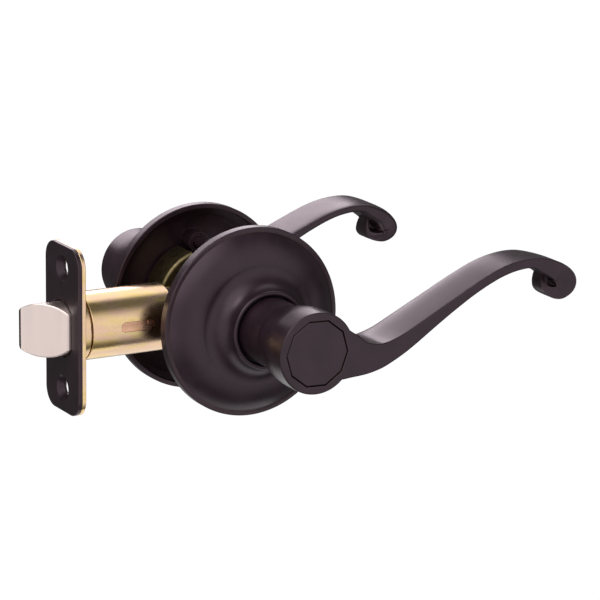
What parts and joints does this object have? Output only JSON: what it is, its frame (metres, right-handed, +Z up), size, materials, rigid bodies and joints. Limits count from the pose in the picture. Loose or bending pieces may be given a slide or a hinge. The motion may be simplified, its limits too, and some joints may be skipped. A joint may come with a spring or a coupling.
{
  "type": "lever handle lockset",
  "caption": "Passage lever lockset: two scroll levers on round roses joined by a spindle, with a tubular spring latch and face plate.",
  "frame": {"origin": "where the spindle axis meets the latch axis, halfway through the door", "axes": "-X points along the latch to the door edge, +X along the levers, -Y is the front of the door and +Y the rear, +Z is up"},
  "size_m": [0.1738, 0.132, 0.065],
  "materials": {
    "oil_rubbed_bronze": "satin oil-rubbed bronze over die-cast zinc",
    "yellow_zinc": "yellow iridescent zinc plate on steel",
    "copper_plate": "copper-toned plate on steel",
    "satin_nickel": "satin nickel",
    "bright_steel": "plain bright steel",
    "spring_steel": "oiled spring wire",
    "nylon": "black nylon"
  },
  "bodies": {
    "lock_body": {"faceplate": "oil_rubbed_bronze", "front_rose": "oil_rubbed_bronze", "rear_rose": "oil_rubbed_bronze", "through_screws": "oil_rubbed_bronze", "faceplate_backing": "yellow_zinc", "latch_collar": "yellow_zinc", "latch_tube": "yellow_zinc", "cam_case": "yellow_zinc", "front_spring_cup": "yellow_zinc", "rear_spring_cup": "yellow_zinc", "guide_sleeve": "copper_plate", "front_posts": "bright_steel", "tail_springs": "spring_steel", "front_bearing": "nylon", "front_return_spring": "spring_steel", "rear_bearing": "nylon", "rear_return_spring": "spring_steel"},
    "front_lever": {"front_lever": "oil_rubbed_bronze", "front_lever_plug": "oil_rubbed_bronze", "front_lever_clip": "bright_steel", "front_drive_sleeve": "bright_steel", "front_sleeve_clip": "bright_steel", "front_spring_arm": "bright_steel"},
    "rear_lever": {"rear_lever": "oil_rubbed_bronze", "rear_lever_plug": "oil_rubbed_bronze", "rear_lever_clip": "bright_steel", "rear_drive_sleeve": "bright_steel", "rear_sleeve_clip": "bright_steel", "rear_spring_arm": "bright_steel"},
    "spindle": {"spindle": "bright_steel", "latch_cam": "bright_steel"},
    "bolt_tail": {"bolt_tail": "bright_steel", "bolt_spring": "spring_steel"},
    "latch_bolt": {"latch_bolt": "satin_nickel", "bolt_clip": "bright_steel"}
  },
  "joints": [
    {"name": "front_lever_turn", "type": "hinge", "parent": "lock_body", "child": "front_lever", "pos_m": [0, 0, 0], "axis": [0, 1, 0], "range_deg": [0, 60], "stiffness_Nm_per_rad": 0.35, "springref_deg": -28.65, "deforming": ["front_return_spring"]},
    {"name": "rear_lever_turn", "type": "hinge", "parent": "lock_body", "child": "rear_lever", "pos_m": [0, 0, 0], "axis": [0, 1, 0], "range_deg": [0, 60], "stiffness_Nm_per_rad": 0.35, "springref_deg": -28.65, "deforming": ["rear_return_spring"]},
    {"name": "spindle_turn", "type": "hinge", "parent": "lock_body", "child": "spindle", "pos_m": [0, 0, 0], "axis": [0, 1, 0], "range_deg": [0, 60]},
    {"name": "tail_retract", "type": "slide", "parent": "lock_body", "child": "bolt_tail", "axis": [1, 0, 0], "range_m": [0, 0.0116], "deforming": ["tail_springs"]},
    {"name": "bolt_push_in", "type": "slide", "parent": "bolt_tail", "child": "latch_bolt", "axis": [1, 0, 0], "range_m": [0, 0.0116], "stiffness_N_per_m": 300, "springref_m": -0.01, "deforming": ["bolt_spring"]}
  ],
  "couplings": [
    {"joint": "rear_lever_turn", "follows": "front_lever_turn", "ratio": 1},
    {"joint": "spindle_turn", "follows": "front_lever_turn", "ratio": 1},
    {"joint": "tail_retract", "follows": "front_lever_turn", "m_per_rad": 0.011077}
  ]
}
